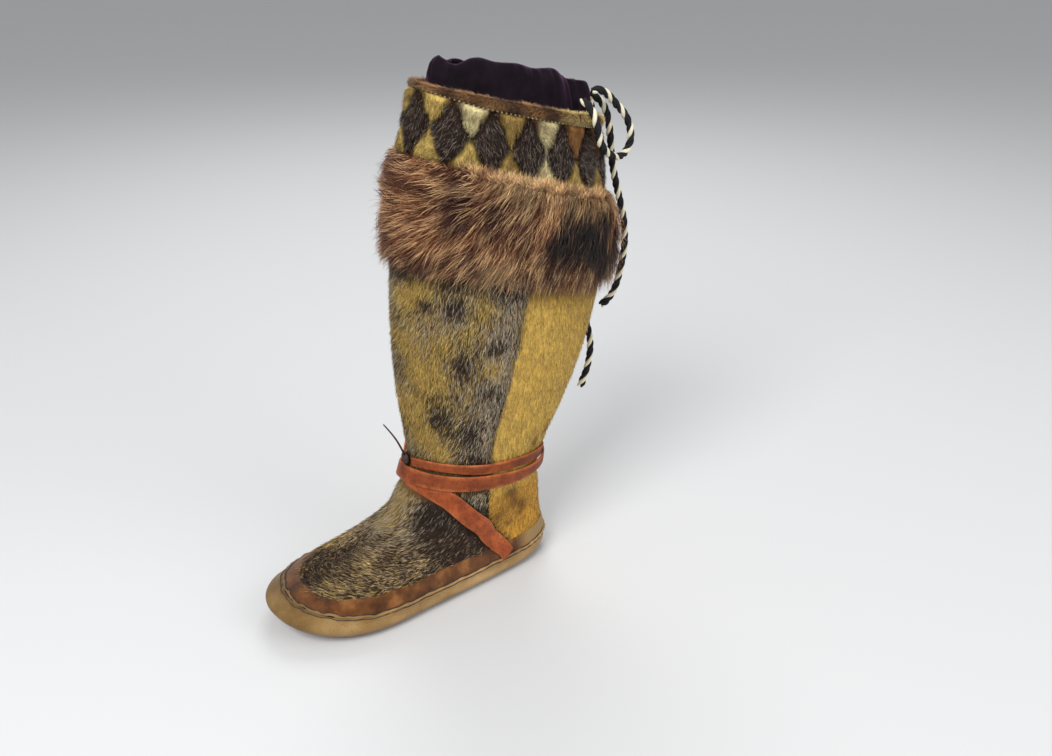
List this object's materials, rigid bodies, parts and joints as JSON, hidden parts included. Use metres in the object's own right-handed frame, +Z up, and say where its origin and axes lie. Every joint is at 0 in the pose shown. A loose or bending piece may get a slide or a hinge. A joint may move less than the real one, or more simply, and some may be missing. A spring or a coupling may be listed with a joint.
{
  "type": "mukluk boot",
  "caption": "Left soft fur mukluk with a turned-up hide sole, fur shaft and cuff, fur mosaic band, drawstring cloth collar and crossed ankle straps.",
  "frame": {"origin": "on the floor under the ankle, on the middle line of the flat part of the sole", "axes": "+X towards the outer side of the left boot, -Y towards the toe, +Z up along the shaft"},
  "size_m": [0.1281, 0.3472, 0.453],
  "materials": {
    "tan_hide": "matt tanned hide with a fine nap",
    "short_fur": "short flat seal fur, mottled dark and golden",
    "brown_suede": "brown suede",
    "mosaic_fur": "short fur patches in dark brown, gold and cream",
    "binding_fur": "short brown fur",
    "dark_velvet": "dark purple velvet",
    "long_fur": "long brown fur with tan tips",
    "strap_leather": "smooth orange-brown leather with pale cut edges",
    "dark_thong": "dark waxed thong",
    "twisted_cord": "twisted cord of one cream and two black plies"
  },
  "bodies": {
    "root": {"sole": "tan_hide", "upper": "short_fur", "foot_band": "brown_suede", "mosaic_band": "mosaic_fur", "top_binding": "binding_fur", "cloth_collar": "dark_velvet", "fur_cuff": "long_fur", "strap_outer": "strap_leather", "strap_inner": "strap_leather", "strap_knot": "dark_thong", "thong_end": "dark_thong", "drawstring_loop": "twisted_cord", "drawstring_tail_a": "twisted_cord", "drawstring_tail_b": "twisted_cord"}
  },
  "joints": []
}
